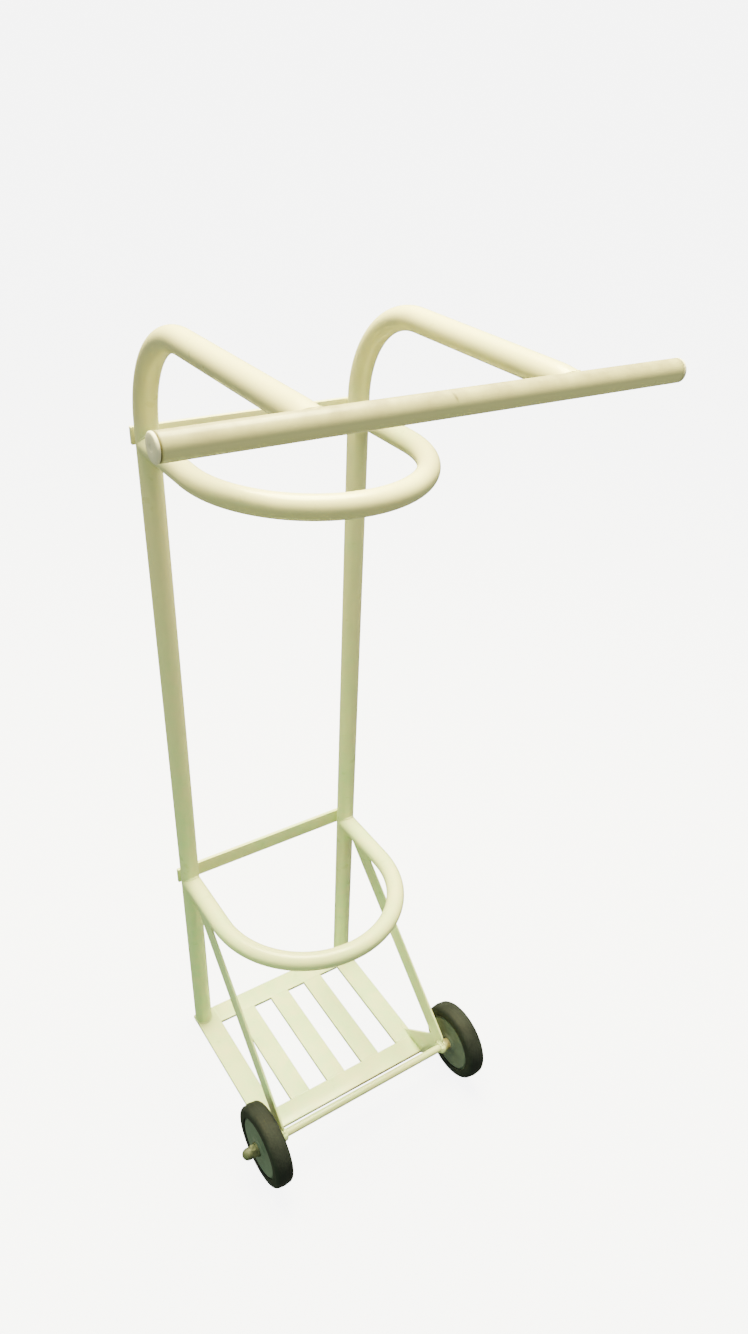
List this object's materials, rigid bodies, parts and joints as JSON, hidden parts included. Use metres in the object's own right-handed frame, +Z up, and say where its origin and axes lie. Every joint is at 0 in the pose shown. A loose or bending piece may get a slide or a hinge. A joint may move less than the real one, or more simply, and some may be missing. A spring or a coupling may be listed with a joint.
{
  "type": "gas cylinder trolley",
  "caption": "Two-wheeled trolley of welded cream tube and flat bar that carries an upright gas cylinder inside a pair of hoops, with a crossbar handle.",
  "frame": {"origin": "on the floor, under the middle of the overall box", "axes": "+X along the axle to the right as seen from the handle side, +Y backward from the handle to the uprights, +Z up"},
  "size_m": [0.54, 0.398, 1.1444],
  "materials": {
    "cream_enamel": "ivory gloss stove enamel on steel",
    "plug_plastic": "moulded polyethylene, pale grey-cream",
    "tyre_rubber": "moulded solid rubber, dark grey, satin",
    "wheel_grey": "moulded plastic, mid grey, matt",
    "bush_nylon": "turned nylon",
    "zinc_plate": "yellow passivated zinc plate, dulled"
  },
  "bodies": {
    "frame": {"left_side_tube": "cream_enamel", "right_side_tube": "cream_enamel", "handle_bar": "cream_enamel", "left_handle_plug": "plug_plastic", "right_handle_plug": "plug_plastic", "upper_hoop": "cream_enamel", "lower_hoop": "cream_enamel", "upper_rear_bar": "cream_enamel", "lower_rear_bar": "cream_enamel", "left_rail": "cream_enamel", "right_rail": "cream_enamel", "rear_cross_bar": "cream_enamel", "front_cross_bar": "cream_enamel", "left_slat": "cream_enamel", "centre_slat": "cream_enamel", "right_slat": "cream_enamel", "left_axle_bracket": "cream_enamel", "right_axle_bracket": "cream_enamel", "left_brace": "cream_enamel", "right_brace": "cream_enamel", "axle": "cream_enamel", "left_collar": "cream_enamel", "right_collar": "cream_enamel", "left_washer": "zinc_plate", "right_washer": "zinc_plate", "left_dome_nut": "zinc_plate", "right_dome_nut": "zinc_plate"},
    "left_wheel": {"left_tyre": "tyre_rubber", "left_wheel_centre": "wheel_grey", "left_bush": "bush_nylon"},
    "right_wheel": {"right_tyre": "tyre_rubber", "right_wheel_centre": "wheel_grey", "right_bush": "bush_nylon"}
  },
  "joints": [
    {"name": "left_wheel_spin", "type": "hinge", "parent": "frame", "child": "left_wheel", "pos_m": [-0.17065, -0.11753, 0.0695], "axis": [1, 0, 0], "continuous": true},
    {"name": "right_wheel_spin", "type": "hinge", "parent": "frame", "child": "right_wheel", "pos_m": [0.17065, -0.11753, 0.0695], "axis": [1, 0, 0], "continuous": true}
  ]
}
